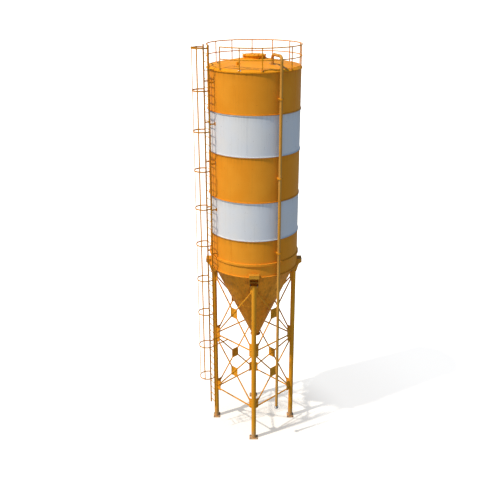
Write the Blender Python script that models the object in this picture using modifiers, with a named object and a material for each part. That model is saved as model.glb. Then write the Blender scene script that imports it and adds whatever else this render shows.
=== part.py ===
"""Cement silo: a banded steel shell with a conical roof and hopper on four braced tube legs.

Metres, +Z up. Everything is laid out round the silo's own upright axis, and the empty
"silo_axis" then stands that axis where the middle of the whole plan is the origin.
The legs stand at the corners of a square whose sides run along X and Y.
"""
import math

import bmesh
import bpy
from mathutils import Matrix, Vector

# Clearance left between pieces that touch
SEAT = 0.0003

# How far a piece first reaches into what it stands against, before it is cut to fit
BITE = 0.040

# Where the silo's axis stands, so that the plan of the whole part is centred on the origin
AXIS_PLACE = (-0.0705, 0.3048, 0.0)

# Shell
SHELL_RADIUS = 1.750
PLATE = 0.008
ROUND_STEPS = 64
SHELL_BOTTOM = 7.465
COURSE_TOPS = (8.957, 10.464, 12.200, 13.727, 15.205)
COURSE_COLOURS = ("orange", "white", "orange", "white", "orange")
FLANGE_REACH = 0.022
FLANGE_HEIGHT = 0.025
SKIRT_RING_LEVEL = 7.985
SKIRT_RING_REACH = 0.042
SKIRT_RING_HEIGHT = 0.080
BASE_FLANGE_REACH = 0.035
BASE_FLANGE_HEIGHT = 0.030

# Roof
RIM_RADIUS = 1.778
RIM_INNER = 1.742
RIM_KNEE = 15.235
SHOULDER_RADIUS = 1.700
SHOULDER_LEVEL = 15.315
ROOF_CROWN_LEVEL = 15.540
ROOF_CROWN_RADIUS = 0.460
ROOF_HOLE_RADIUS = 0.360
HATCH_RADIUS = 0.410
HATCH_HEIGHT = 0.090
HATCH_LID_RADIUS = 0.435
HATCH_LID_THICKNESS = 0.050
VENT_PLACE = (0.272, -1.121)
VENT_RADIUS = 0.050
VENT_HEIGHT = 0.085

# Hopper, whose outlet stands a little off the axis
HOPPER_TOP = 7.600
HOPPER_OUTLET_LEVEL = 4.150
HOPPER_OUTLET_RADIUS = 0.142
OUTLET_OFFSET = (0.050, 0.050)
OUTLET_FLANGE_RADIUS = 0.215
OUTLET_FLANGE_THICKNESS = 0.020

# Legs, on the square's corners
LEG_PLAN = 1.155
LEG_RADIUS = 0.0968
LEG_STEPS = 24
LEG_TOP = 7.100
FOOT_PLATE = (0.290, 0.360, 0.025)
CAP_PLATE = (0.215, 0.380, 0.020)
LEG_NAMES = ("right", "rear", "left", "front")

# Brackets between the leg caps and the shell
BRACKET_OUTER = 1.946
BRACKET_TOP = 7.630
BRACKET_LIP = 0.004
BRACKET_APRON_FOOT = 7.490
BRACKET_WAIST = (1.830, 7.400)
BRACKET_TOE = 1.740
BRACKET_HALF_WIDTH = 0.205
GUSSET_SPREAD = 0.177
BRACKET_PLATE = 0.016
BRACKET_STAND_OFF = 0.030
FACE_PLATE_RADIUS = 1.802
FACE_PLATE_FOOT = 7.440
BRACKET_MID_LEVEL = 7.270
BRACKET_RIB_RADIUS = 1.760

# Bracing of the four sides
TIERS = ((1.620, 3.890), (4.220, 6.760))
TIE_LEVELS = (1.480, 4.130)
GUSSETS = ((1.400, 1.850, 0.170), (3.850, 4.450, 0.170), (6.640, 7.020, 0.100))
TIE_RADIUS = 0.030
TIE_SIDES = 8
TIE_SHORTFALL = 0.004
DIAGONAL_RADIUS = 0.029
DIAGONAL_OFFSET = 0.005
CROSS_PLATE = (0.016, 0.370, 0.430)
GUSSET_THICKNESS = 0.014
SIDE_NAMES = ("front_right", "rear_right", "rear_left", "front_left")

# Ladder and cage, standing off the shell at one angle round the axis
LADDER_ANGLE = math.radians(252.5)
LADDER_RADIUS = 1.950
LADDER_HALF_WIDTH = 0.215
LADDER_LEVELS = (1.200, 6.400, 11.200, 16.100)
LADDER_NAMES = ("lower", "middle", "upper")
RAIL_DEPTH = 0.050
RAIL_WIDTH = 0.030
RUNG_RADIUS = 0.0125
RUNG_PITCH = 0.300
FIRST_RUNG = 1.400
RUNG_COUNT = 49
RUNG_MARGIN = 0.050
STAY_LEVELS = (8.200, 10.000, 11.800, 13.300, 14.800)
STAY_SECTION = (0.012, 0.050)
CAGE_RADIUS = 0.325
CAGE_BAR = 0.006
HOOP_HEIGHT = 0.050
HOOP_TOP = 16.000
HOOP_PITCH = 1.480
HOOP_COUNT = 10
HOOP_STEPS = 20
CAGE_LEVELS = (2.640, 6.400, 11.200, 16.040)
STRAP_ANGLES = (-90.0, -45.0, 0.0, 45.0, 90.0)
STRAP_WIDTH = 0.040
STRAP_THICKNESS = 0.008
STRAP_SINK = 0.0025

# Fill pipe
PIPE_PLAN = (1.853, -0.515)
PIPE_ROOF_PLAN = (1.072, -0.165)
PIPE_RADIUS = 0.057
PIPE_BOTTOM = 1.620
PIPE_CREST = 15.770
PIPE_BEND = 0.165
COUPLING_RADIUS = 0.078
COUPLING_HEIGHT = 0.110
CLAMP_LEVELS = (8.450, 11.400, 14.300)
CLAMP_RADIUS = 0.080
CLAMP_HEIGHT = 0.050
CLAMP_ARM = (0.060, 0.040)

# Guardrail round the roof, open where the ladder arrives
GUARD_RADIUS = 1.755
GUARD_TUBE = 0.021
GUARD_TOP = 16.050
GUARD_MIDDLE = 15.640
RAIL_STEP = math.radians(6.5)
SQUARE_END = 0.010
POST_ANGLES = (
    (-89.25, -62.60, -35.95),
    (4.25, 30.90, 57.55),
    (84.20, 110.85, 137.50),
    (164.15, 190.80, 217.45, 244.10),
)
PANEL_ENDS = (-89.25, -15.85, 70.90, 150.80, 244.10)

ORANGE = "E8901C"
WHITE = "E3E2E0"

for stale in list(bpy.data.objects):
    bpy.data.objects.remove(stale, do_unlink=True)

parts = bpy.data.collections.new("cement_silo")
bpy.context.scene.collection.children.link(parts)

axis = bpy.data.objects.new("silo_axis", None)
axis.location = AXIS_PLACE
parts.objects.link(axis)


def linear_colour(hex_colour):
    """Turn an sRGB hex colour into linear red, green, blue and full alpha."""
    channels = [int(hex_colour[i:i + 2], 16) / 255 for i in (0, 2, 4)]
    linear = [c / 12.92 if c <= 0.04045 else ((c + 0.055) / 1.055) ** 2.4 for c in channels]
    return (*linear, 1.0)


def finish(piece, hex_colour, roughness=0.45):
    """Give a piece its own paint and hang it on the silo's axis."""
    paint = bpy.data.materials.new(piece.name + "_paint")
    paint.use_nodes = True
    shader = paint.node_tree.nodes["Principled BSDF"]
    shader.inputs["Base Color"].default_value = linear_colour(hex_colour)
    shader.inputs["Roughness"].default_value = roughness
    shader.inputs["Metallic"].default_value = 0.0
    piece.data.materials.clear()
    piece.data.materials.append(paint)
    piece.parent = axis
    return piece


def from_bmesh(name, shape):
    """Make an object of a finished bmesh."""
    bmesh.ops.recalc_face_normals(shape, faces=shape.faces)
    mesh = bpy.data.meshes.new(name)
    shape.to_mesh(mesh)
    shape.free()
    piece = bpy.data.objects.new(name, mesh)
    parts.objects.link(piece)
    return piece


def add_box(shape, size, place):
    """Add a box of the given size, with place taking its middle from the origin."""
    scaled = place @ Matrix.Diagonal((*size, 1.0))
    bmesh.ops.create_cube(shape, size=1.0, matrix=scaled)


def add_rod(shape, start, end, radius, sides, turn=0.0):
    """Add a straight round bar from start to end."""
    start, end = Vector(start), Vector(end)
    run = end - start
    aim = run.to_track_quat("Z", "Y").to_matrix().to_4x4()
    place = Matrix.Translation((start + end) / 2) @ aim @ Matrix.Rotation(turn, 4, "Z")
    bmesh.ops.create_cone(
        shape, cap_ends=True, segments=sides, radius1=radius, radius2=radius,
        depth=run.length, matrix=place)


def round_smooth(piece, angle=35.0):
    """Shade the round faces smooth and keep the real corners sharp."""
    piece.data.shade_smooth()
    piece.data.set_sharp_from_angle(angle=math.radians(angle))
    return piece


def turned(name, profile, steps=ROUND_STEPS):
    """Turn a closed profile of (radius, height) round the axis, outer side first, downward."""
    shape = bmesh.new()
    corners = [shape.verts.new((radius, 0.0, height)) for radius, height in profile]
    for here, there in zip(corners, corners[1:] + corners[:1]):
        shape.edges.new((here, there))
    mesh = bpy.data.meshes.new(name)
    shape.to_mesh(mesh)
    shape.free()
    piece = bpy.data.objects.new(name, mesh)
    parts.objects.link(piece)
    turn = piece.modifiers.new("turn", "SCREW")
    turn.angle = math.tau
    turn.steps = steps
    turn.render_steps = steps
    turn.use_merge_vertices = True
    turn.merge_threshold = 0.0001
    return piece


def settled(piece):
    """Replace a piece by the plain mesh that its modifiers or its curve give."""
    bpy.context.view_layer.update()
    graph = bpy.context.evaluated_depsgraph_get()
    mesh = bpy.data.meshes.new_from_object(piece.evaluated_get(graph))
    name = piece.name
    place = piece.matrix_world.copy()
    bpy.data.objects.remove(piece, do_unlink=True)
    plain = bpy.data.objects.new(name, mesh)
    plain.matrix_world = place
    parts.objects.link(plain)
    return plain


def combined(piece, other, operation="UNION"):
    """Join or cut a piece with another one, which is used up."""
    change = piece.modifiers.new("change", "BOOLEAN")
    change.operation = operation
    change.solver = "EXACT"
    change.object = other
    result = settled(piece)
    bpy.data.objects.remove(other, do_unlink=True)
    return result


def rectangle_ring(inner, outer, bottom, top):
    """Profile of a ring with a rectangular section."""
    return ((outer, top), (outer, bottom), (inner, bottom), (inner, top))


def polar(radius, angle, height=0.0):
    """Point at a radius and an angle round the silo's axis."""
    return Vector((radius * math.cos(angle), radius * math.sin(angle), height))


def drum(name, radius, bottom, top, steps=ROUND_STEPS):
    """Upright cylinder on the axis whose corners stand on the same angles as the turned rings."""
    shape = bmesh.new()
    add_rod(shape, (0, 0, bottom), (0, 0, top), radius, steps)
    bmesh.ops.rotate(shape, verts=shape.verts, matrix=Matrix.Rotation(math.pi / 2, 3, "Z"))
    return from_bmesh(name, shape)


def tube(name, points, radius, resolution=2):
    """Bent tube along points, with closed ends."""
    route = bpy.data.curves.new(name, "CURVE")
    route.dimensions = "3D"
    route.bevel_depth = radius
    route.bevel_resolution = resolution
    route.use_fill_caps = True
    line = route.splines.new("POLY")
    line.points.add(len(points) - 1)
    for spot, point in zip(line.points, points):
        spot.co = (*point, 1.0)
    piece = bpy.data.objects.new(name, route)
    parts.objects.link(piece)
    piece = settled(piece)
    shape = bmesh.new()
    shape.from_mesh(piece.data)
    bmesh.ops.remove_doubles(shape, verts=shape.verts, dist=0.0001)
    shape.to_mesh(piece.data)
    shape.free()
    return piece


def build_shell():
    """Five rolled courses, butted flange to flange, the lowest with the ring that the legs carry."""
    inner = SHELL_RADIUS - PLATE
    flange = SHELL_RADIUS + FLANGE_REACH
    bottom = SHELL_BOTTOM
    for number, (top, colour) in enumerate(zip(COURSE_TOPS, COURSE_COLOURS), 1):
        top_edge = top - SEAT
        if number == len(COURSE_TOPS):
            head = [(SHELL_RADIUS, top_edge)]
        else:
            under = top_edge - FLANGE_HEIGHT
            head = [(flange, top_edge), (flange, under), (SHELL_RADIUS, under)]
        if number == 1:
            half = SKIRT_RING_HEIGHT / 2
            skirt = SHELL_RADIUS + SKIRT_RING_REACH
            base = SHELL_RADIUS + BASE_FLANGE_REACH
            foot = [(SHELL_RADIUS, SKIRT_RING_LEVEL + half), (skirt, SKIRT_RING_LEVEL + half),
                    (skirt, SKIRT_RING_LEVEL - half), (SHELL_RADIUS, SKIRT_RING_LEVEL - half),
                    (SHELL_RADIUS, bottom + BASE_FLANGE_HEIGHT),
                    (base, bottom + BASE_FLANGE_HEIGHT), (base, bottom)]
        else:
            foot = [(SHELL_RADIUS, bottom + FLANGE_HEIGHT), (flange, bottom + FLANGE_HEIGHT),
                    (flange, bottom)]
        profile = head + foot + [(inner, bottom), (inner, top_edge)]
        course = turned(f"shell_course_{number}_{colour}", profile)
        finish(round_smooth(settled(course)), ORANGE if colour == "orange" else WHITE)
        bottom = top


def roof_level(radius):
    """Height of the roof's upper side at a radius."""
    if radius > SHOULDER_RADIUS:
        share = (RIM_RADIUS - radius) / (RIM_RADIUS - SHOULDER_RADIUS)
        return RIM_KNEE + share * (SHOULDER_LEVEL - RIM_KNEE)
    share = (SHOULDER_RADIUS - radius) / (SHOULDER_RADIUS - ROOF_CROWN_RADIUS)
    return SHOULDER_LEVEL + share * (ROOF_CROWN_LEVEL - SHOULDER_LEVEL)


def roof_cutter():
    """Solid under the roof's upper side, lifted by the seating clearance."""
    lift = SEAT * 1.5
    bottom = COURSE_TOPS[-1]
    return settled(turned("roof_cut", (
        (RIM_RADIUS, RIM_KNEE + lift),
        (RIM_RADIUS, bottom),
        (ROOF_CROWN_RADIUS, bottom),
        (ROOF_CROWN_RADIUS, ROOF_CROWN_LEVEL + lift),
        (SHOULDER_RADIUS, SHOULDER_LEVEL + lift))))


def build_roof():
    """Conical roof plate with its sloped shoulder, the hatch on its crown, and a capped fitting."""
    foot = COURSE_TOPS[-1]
    roof = turned("roof_cone", (
        (RIM_RADIUS, RIM_KNEE),
        (RIM_RADIUS, foot),
        (RIM_INNER, foot),
        (RIM_INNER, RIM_KNEE),
        (SHOULDER_RADIUS - PLATE, SHOULDER_LEVEL - PLATE),
        (ROOF_CROWN_RADIUS, ROOF_CROWN_LEVEL - PLATE),
        (ROOF_HOLE_RADIUS, ROOF_CROWN_LEVEL - PLATE),
        (ROOF_HOLE_RADIUS, ROOF_CROWN_LEVEL),
        (ROOF_CROWN_RADIUS, ROOF_CROWN_LEVEL),
        (SHOULDER_RADIUS, SHOULDER_LEVEL)))
    finish(round_smooth(settled(roof), 5.0), ORANGE)
    collar_bottom = ROOF_CROWN_LEVEL + SEAT
    collar_top = collar_bottom + HATCH_HEIGHT
    collar = turned("hatch_collar", rectangle_ring(
        HATCH_RADIUS - PLATE, HATCH_RADIUS, collar_bottom, collar_top), 48)
    finish(round_smooth(settled(collar)), ORANGE)
    lid_bottom = collar_top + SEAT
    lid_edge = lid_bottom + HATCH_LID_THICKNESS
    shape = bmesh.new()
    add_rod(shape, (0, 0, lid_bottom), (0, 0, lid_edge), HATCH_LID_RADIUS, 48)
    lid = from_bmesh("hatch_lid", shape)
    finish(round_smooth(lid), ORANGE)
    shape = bmesh.new()
    foot = roof_level(math.hypot(*VENT_PLACE))
    add_rod(shape, (*VENT_PLACE, foot - VENT_RADIUS), (*VENT_PLACE, foot + VENT_HEIGHT),
            VENT_RADIUS, 16)
    vent = combined(from_bmesh("roof_vent", shape), roof_cutter(), "DIFFERENCE")
    finish(round_smooth(vent), ORANGE)


def hopper_radius(level):
    """Outer radius of the hopper at a height."""
    top = SHELL_RADIUS - PLATE - SEAT
    share = (HOPPER_TOP - level) / (HOPPER_TOP - HOPPER_OUTLET_LEVEL)
    return top + share * (HOPPER_OUTLET_RADIUS - top)


def build_hopper():
    """Cone inside the shell's foot, leaning to its outlet, and the flange round the outlet."""
    top_radius = hopper_radius(HOPPER_TOP)
    depth = HOPPER_TOP - HOPPER_OUTLET_LEVEL
    lean_x, lean_y = OUTLET_OFFSET[0] / depth, OUTLET_OFFSET[1] / depth
    lean = Matrix((
        (1.0, 0.0, -lean_x, lean_x * HOPPER_TOP),
        (0.0, 1.0, -lean_y, lean_y * HOPPER_TOP),
        (0.0, 0.0, 1.0, 0.0),
        (0.0, 0.0, 0.0, 1.0)))
    hopper = settled(turned("hopper_cone", (
        (top_radius, HOPPER_TOP),
        (HOPPER_OUTLET_RADIUS, HOPPER_OUTLET_LEVEL),
        (HOPPER_OUTLET_RADIUS - PLATE, HOPPER_OUTLET_LEVEL),
        (top_radius - PLATE, HOPPER_TOP))))
    hopper.data.transform(lean)
    finish(round_smooth(hopper), ORANGE)
    flange_top = HOPPER_OUTLET_LEVEL - SEAT
    flange = settled(turned("outlet_flange", rectangle_ring(
        HOPPER_OUTLET_RADIUS - PLATE, OUTLET_FLANGE_RADIUS,
        flange_top - OUTLET_FLANGE_THICKNESS, flange_top), 32))
    flange.data.transform(Matrix.Translation((*OUTLET_OFFSET, 0.0)))
    finish(round_smooth(flange), ORANGE)


def corner_frame(corner):
    """Radial frame at a leg: X outward from the axis, Y along the shell."""
    angle = math.radians(45 + 90 * corner)
    centre = polar(LEG_PLAN * math.sqrt(2), angle)
    return Matrix.Translation(centre) @ Matrix.Rotation(angle, 4, "Z")


def build_leg(corner, name):
    """One tube leg with its base plate and its cap plate."""
    place = corner_frame(corner)
    shape = bmesh.new()
    centre = place.translation
    foot = FOOT_PLATE[2] / 2
    add_rod(shape, (centre.x, centre.y, foot), (centre.x, centre.y, LEG_TOP - CAP_PLATE[2] / 2),
            LEG_RADIUS, LEG_STEPS)
    tube_leg = from_bmesh(f"leg_{name}", shape)
    shape = bmesh.new()
    add_box(shape, FOOT_PLATE, place @ Matrix.Translation((0, 0, foot)))
    add_box(shape, CAP_PLATE, place @ Matrix.Translation((0, 0, LEG_TOP - CAP_PLATE[2] / 2)))
    finish(round_smooth(combined(tube_leg, from_bmesh("leg_plates", shape))), ORANGE)


def build_bracket(corner, name):
    """Open bracket from the leg's cap to the shell: two gussets, a face plate, and a shelf
    with an apron along its outer edge."""
    angle = math.radians(45 + 90 * corner)
    turn = Matrix.Rotation(angle, 4, "Z")
    foot = LEG_TOP + SEAT
    head = BRACKET_TOP - BRACKET_PLATE / 2
    apron_middle = BRACKET_OUTER - BRACKET_LIP - BRACKET_PLATE / 2
    outline = (
        (hopper_radius(foot) + BRACKET_STAND_OFF, foot),
        (BRACKET_TOE, foot),
        BRACKET_WAIST,
        (apron_middle, BRACKET_APRON_FOOT),
        (apron_middle, head),
        (SHELL_RADIUS - BITE, head),
        (SHELL_RADIUS - BITE, SHELL_BOTTOM - BRACKET_STAND_OFF))
    gussets = bmesh.new()
    for side in (-1, 1):
        middle = side * GUSSET_SPREAD
        near, far = middle - BRACKET_PLATE / 2, middle + BRACKET_PLATE / 2
        rim = [gussets.verts.new((u, near, z)) for u, z in outline]
        face = gussets.faces.new(rim)
        grown = bmesh.ops.extrude_face_region(gussets, geom=[face])
        moved = [item for item in grown["geom"] if isinstance(item, bmesh.types.BMVert)]
        bmesh.ops.translate(gussets, verts=moved, vec=(0, far - near, 0))
    bmesh.ops.transform(gussets, matrix=turn, verts=gussets.verts)
    bracket = from_bmesh(f"leg_bracket_{name}", gussets)
    width = 2 * BRACKET_HALF_WIDTH
    face_plate = bmesh.new()
    face_height = head - FACE_PLATE_FOOT
    add_box(face_plate, (BRACKET_PLATE, 2 * GUSSET_SPREAD, face_height), turn
            @ Matrix.Translation((FACE_PLATE_RADIUS, 0, FACE_PLATE_FOOT + face_height / 2)))
    bracket = combined(bracket, from_bmesh("face_plate", face_plate))
    shelf_in = SHELL_RADIUS - BITE
    shelf = bmesh.new()
    add_box(shelf, (BRACKET_OUTER - shelf_in, width, BRACKET_PLATE), turn
            @ Matrix.Translation(((BRACKET_OUTER + shelf_in) / 2, 0, BRACKET_TOP - BRACKET_PLATE / 2)))
    bracket = combined(bracket, from_bmesh("shelf", shelf))
    apron = bmesh.new()
    apron_height = head - BRACKET_APRON_FOOT
    add_box(apron, (BRACKET_PLATE, width - 2 * BRACKET_LIP, apron_height), turn
            @ Matrix.Translation((apron_middle, 0, BRACKET_APRON_FOOT + apron_height / 2)))
    bracket = combined(bracket, from_bmesh("apron", apron))
    rib = bmesh.new()
    rib_in = hopper_radius(BRACKET_MID_LEVEL) + BRACKET_STAND_OFF
    rib_out = BRACKET_RIB_RADIUS
    add_box(rib, (rib_out - rib_in, 2 * GUSSET_SPREAD, BRACKET_PLATE), turn
            @ Matrix.Translation(((rib_in + rib_out) / 2, 0, BRACKET_MID_LEVEL)))
    bracket = combined(bracket, from_bmesh("bracket_rib", rib))
    bracket = combined(
        bracket, drum("shell_cut", SHELL_RADIUS + SEAT, SHELL_BOTTOM - SEAT, BRACKET_TOP + BITE),
        "DIFFERENCE")
    bracket = combined(
        bracket, drum("flange_cut", SHELL_RADIUS + BASE_FLANGE_REACH + SEAT, SHELL_BOTTOM - SEAT,
                      SHELL_BOTTOM + BASE_FLANGE_HEIGHT + SEAT), "DIFFERENCE")
    finish(bracket, ORANGE)


def build_side(side, name):
    """Bracing of one side: two crossed tiers, two ties, and their plates."""
    turn = Matrix.Rotation(math.radians(90 * side), 4, "Z")
    reach = LEG_PLAN - LEG_RADIUS - SEAT
    tie_end = reach - TIE_SHORTFALL
    diagonal_end = reach - DIAGONAL_RADIUS
    plates = bmesh.new()
    for low, high in TIERS:
        middle = Matrix.Translation((LEG_PLAN, 0, (low + high) / 2))
        add_box(plates, CROSS_PLATE, turn @ middle)
    for low, high, width in GUSSETS:
        for end in (-1, 1):
            middle = Matrix.Translation((LEG_PLAN, end * (reach - width / 2), (low + high) / 2))
            add_box(plates, (GUSSET_THICKNESS, width, high - low), turn @ middle)
    frame = from_bmesh(f"side_bracing_{name}", plates)
    ties = bmesh.new()
    for level in TIE_LEVELS:
        add_rod(ties, turn @ Vector((LEG_PLAN, -tie_end, level)),
                turn @ Vector((LEG_PLAN, tie_end, level)), TIE_RADIUS, TIE_SIDES)
    frame = combined(frame, from_bmesh("ties", ties))
    for slope in (-1, 1):
        diagonals = bmesh.new()
        plane = LEG_PLAN + slope * DIAGONAL_OFFSET
        for low, high in TIERS:
            add_rod(diagonals, turn @ Vector((plane, -slope * diagonal_end, low)),
                    turn @ Vector((plane, slope * diagonal_end, high)),
                    DIAGONAL_RADIUS, TIE_SIDES)
        frame = combined(frame, from_bmesh("diagonals", diagonals))
    finish(round_smooth(frame), ORANGE)


def ladder_frame():
    """Frame of the ladder: X outward from the axis, Y across it."""
    return Matrix.Rotation(LADDER_ANGLE, 4, "Z") @ Matrix.Translation((LADDER_RADIUS, 0, 0))


def build_ladder():
    """Three ladder sections, with stays to the shell, and to the tie where the shell ends."""
    place = ladder_frame()
    for name, low, high in zip(LADDER_NAMES, LADDER_LEVELS, LADDER_LEVELS[1:]):
        top = high - SEAT
        rails = bmesh.new()
        for side in (-1, 1):
            middle = Matrix.Translation((0, side * LADDER_HALF_WIDTH, (low + top) / 2))
            add_box(rails, (RAIL_DEPTH, RAIL_WIDTH, top - low), place @ middle)
        section = from_bmesh(f"ladder_{name}", rails)
        rungs = bmesh.new()
        for step in range(RUNG_COUNT):
            level = FIRST_RUNG + step * RUNG_PITCH
            if low + RUNG_MARGIN < level < top - RUNG_MARGIN:
                add_rod(rungs, place @ Vector((0, -LADDER_HALF_WIDTH, level)),
                        place @ Vector((0, LADDER_HALF_WIDTH, level)), RUNG_RADIUS, 6)
        section = combined(section, from_bmesh("rungs", rungs))
        stays = bmesh.new()
        stay_length = LADDER_RADIUS - SHELL_RADIUS + BITE
        for level in STAY_LEVELS:
            if low < level < top:
                for side in (-1, 1):
                    middle = Matrix.Translation((-stay_length / 2, side * LADDER_HALF_WIDTH, level))
                    add_box(stays, (stay_length, *STAY_SECTION), place @ middle)
        if stays.verts:
            section = combined(section, from_bmesh("stays", stays))
            section = combined(
                section, drum("shell_cut", SHELL_RADIUS + SEAT, SHELL_BOTTOM, COURSE_TOPS[-1]),
                "DIFFERENCE")
        else:
            stays.free()
            section = combined(section, tie_stays(place))
        finish(round_smooth(section), ORANGE)


def tie_stays(place):
    """Two level arms from the lower ladder section back to the tie between the legs."""
    arms = bmesh.new()
    level = TIE_LEVELS[1]
    tie_face = -LEG_PLAN - TIE_RADIUS - SEAT
    for side in (-1, 1):
        start = place @ Vector((0, side * LADDER_HALF_WIDTH, level))
        middle = Vector((start.x, (start.y + tie_face) / 2, level))
        size = (STAY_SECTION[0], tie_face - start.y, STAY_SECTION[1])
        add_box(arms, size, Matrix.Translation(middle))
    return from_bmesh("tie_stays", arms)


def build_cage():
    """Three cage sections of flat hoops and upright straps round the ladder."""
    gap_from_axis = math.sqrt((CAGE_RADIUS - CAGE_BAR / 2) ** 2
                              - (LADDER_HALF_WIDTH + RAIL_WIDTH / 2 + SEAT) ** 2)
    place = ladder_frame() @ Matrix.Translation((gap_from_axis, 0, 0))
    half_side = LADDER_HALF_WIDTH + RAIL_WIDTH / 2 + SEAT
    opening = math.atan2(half_side, -gap_from_axis)
    for name, low, high in zip(LADDER_NAMES, CAGE_LEVELS, CAGE_LEVELS[1:]):
        top = high - SEAT
        hoops = bmesh.new()
        for step in range(HOOP_COUNT):
            level = HOOP_TOP - step * HOOP_PITCH
            if low < level < top:
                add_hoop(hoops, level, opening)
        bmesh.ops.transform(hoops, matrix=place, verts=hoops.verts)
        section = from_bmesh(f"cage_{name}", hoops)
        straps = bmesh.new()
        strap_radius = CAGE_RADIUS - CAGE_BAR / 2 + STRAP_SINK - STRAP_THICKNESS / 2
        for angle in STRAP_ANGLES:
            swing = place @ Matrix.Rotation(math.radians(angle), 4, "Z")
            middle = Matrix.Translation((strap_radius, 0, (low + top) / 2))
            add_box(straps, (STRAP_THICKNESS, STRAP_WIDTH, top - low), swing @ middle)
        finish(round_smooth(combined(section, from_bmesh("straps", straps))), ORANGE)


def add_hoop(shape, level, opening):
    """Add one flat hoop, swept from one ladder rail round to the other."""
    inner = CAGE_RADIUS - CAGE_BAR / 2
    outer = CAGE_RADIUS + CAGE_BAR / 2
    corners = ((inner, level - HOOP_HEIGHT / 2), (outer, level - HOOP_HEIGHT / 2),
               (outer, level + HOOP_HEIGHT / 2), (inner, level + HOOP_HEIGHT / 2))
    start = Matrix.Rotation(-opening, 3, "Z")
    rim = [shape.verts.new(start @ Vector((radius, 0, height))) for radius, height in corners]
    face = shape.faces.new(rim)
    bmesh.ops.spin(shape, geom=[face], cent=(0, 0, 0), axis=(0, 0, 1),
                   angle=2 * opening, steps=HOOP_STEPS, use_duplicate=False)


def arc_points(start, turned_by, centre, radius_vector, steps):
    """Points of a bend that starts at radius_vector from centre and turns about an axis."""
    return [centre + Matrix.Rotation(start + turned_by[0] * i / steps, 3, turned_by[1])
            @ radius_vector for i in range(steps + 1)]


def build_fill_pipe():
    """Upright pipe that bends over the eave and comes down through the roof."""
    low = Vector((*PIPE_PLAN, PIPE_BOTTOM))
    roof_foot = Vector((*PIPE_ROOF_PLAN, 0))
    roof_foot.z = roof_level(roof_foot.xy.length) - PIPE_RADIUS
    inward = (Vector((*PIPE_ROOF_PLAN, 0)) - Vector((*PIPE_PLAN, 0))).normalized()
    side = Vector((0, 0, 1)).cross(inward)
    first_centre = Vector((*PIPE_PLAN, PIPE_CREST - PIPE_BEND)) + inward * PIPE_BEND
    second_centre = Vector((*PIPE_ROOF_PLAN, PIPE_CREST - PIPE_BEND)) - inward * PIPE_BEND
    quarter = math.pi / 2
    points = [low]
    points += arc_points(0.0, (quarter, side), first_centre, -inward * PIPE_BEND, 6)
    points += arc_points(0.0, (quarter, side), second_centre, Vector((0, 0, PIPE_BEND)), 6)
    points.append(roof_foot)
    pipe = combined(tube("fill_pipe", points, PIPE_RADIUS, 4), roof_cutter(), "DIFFERENCE")
    finish(round_smooth(pipe), ORANGE)
    shape = bmesh.new()
    top = PIPE_BOTTOM - SEAT
    add_rod(shape, (*PIPE_PLAN, top - COUPLING_HEIGHT), (*PIPE_PLAN, top), COUPLING_RADIUS, 20)
    finish(round_smooth(from_bmesh("hose_coupling", shape)), ORANGE)
    angle = math.atan2(PIPE_PLAN[1], PIPE_PLAN[0])
    turn = Matrix.Rotation(angle, 4, "Z")
    pipe_radius = math.hypot(*PIPE_PLAN)
    for number, level in enumerate(CLAMP_LEVELS, 1):
        half = CLAMP_HEIGHT / 2
        shape = bmesh.new()
        add_rod(shape, (*PIPE_PLAN, level - half), (*PIPE_PLAN, level + half), CLAMP_RADIUS, 16)
        clamp = from_bmesh(f"pipe_clamp_{number}", shape)
        shape = bmesh.new()
        arm_in = SHELL_RADIUS - BITE
        arm = Matrix.Translation(((arm_in + pipe_radius) / 2, 0, level))
        add_box(shape, (pipe_radius - arm_in, *CLAMP_ARM), turn @ arm)
        clamp = combined(clamp, from_bmesh("clamp_arm", shape))
        shape = bmesh.new()
        add_rod(shape, (*PIPE_PLAN, level - CLAMP_HEIGHT), (*PIPE_PLAN, level + CLAMP_HEIGHT),
                PIPE_RADIUS + SEAT, 12)
        clamp = combined(clamp, from_bmesh("pipe_cut", shape), "DIFFERENCE")
        clamp = combined(
            clamp, drum("shell_cut", SHELL_RADIUS + SEAT, level - CLAMP_HEIGHT,
                        level + CLAMP_HEIGHT), "DIFFERENCE")
        finish(round_smooth(clamp), ORANGE)


def rail_points(first, last, level):
    """Points along a rail between two angles, in degrees, round the axis."""
    first, last = math.radians(first), math.radians(last)
    steps = max(2, round((last - first) / RAIL_STEP))
    points = [polar(GUARD_RADIUS, first + (last - first) * i / steps, level)
              for i in range(steps + 1)]
    quarter = math.pi / 2
    points.insert(1, points[0] + polar(SQUARE_END, first + quarter))
    points.insert(-1, points[-1] + polar(SQUARE_END, last - quarter))
    return points


def build_guardrail():
    """Four panels of posts with a top rail and a middle rail."""
    butt = math.degrees(SEAT / GUARD_RADIUS)
    for number, (angles, first, last) in enumerate(
            zip(POST_ANGLES, PANEL_ENDS, PANEL_ENDS[1:]), 1):
        panel = tube(f"guardrail_{number}", rail_points(first, last - butt, GUARD_TOP), GUARD_TUBE)
        posts = bmesh.new()
        for angle in angles:
            end = polar(GUARD_RADIUS, math.radians(angle), RIM_KNEE - GUARD_TUBE)
            add_rod(posts, end, (end.x, end.y, GUARD_TOP), GUARD_TUBE * 0.94, 8)
        posts = combined(from_bmesh("posts", posts), roof_cutter(), "DIFFERENCE")
        panel = combined(panel, posts)
        middle = tube("middle_rail", rail_points(first, last - butt, GUARD_MIDDLE),
                      GUARD_TUBE * 0.9)
        panel = combined(panel, middle)
        finish(round_smooth(panel), ORANGE)


build_shell()
build_roof()
build_hopper()
for corner_number, leg_name in enumerate(LEG_NAMES):
    build_leg(corner_number, leg_name)
    build_bracket(corner_number, leg_name)
for side_number, side_name in enumerate(SIDE_NAMES):
    build_side(side_number, side_name)
build_ladder()
build_cage()
build_fill_pipe()
build_guardrail()
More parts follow.
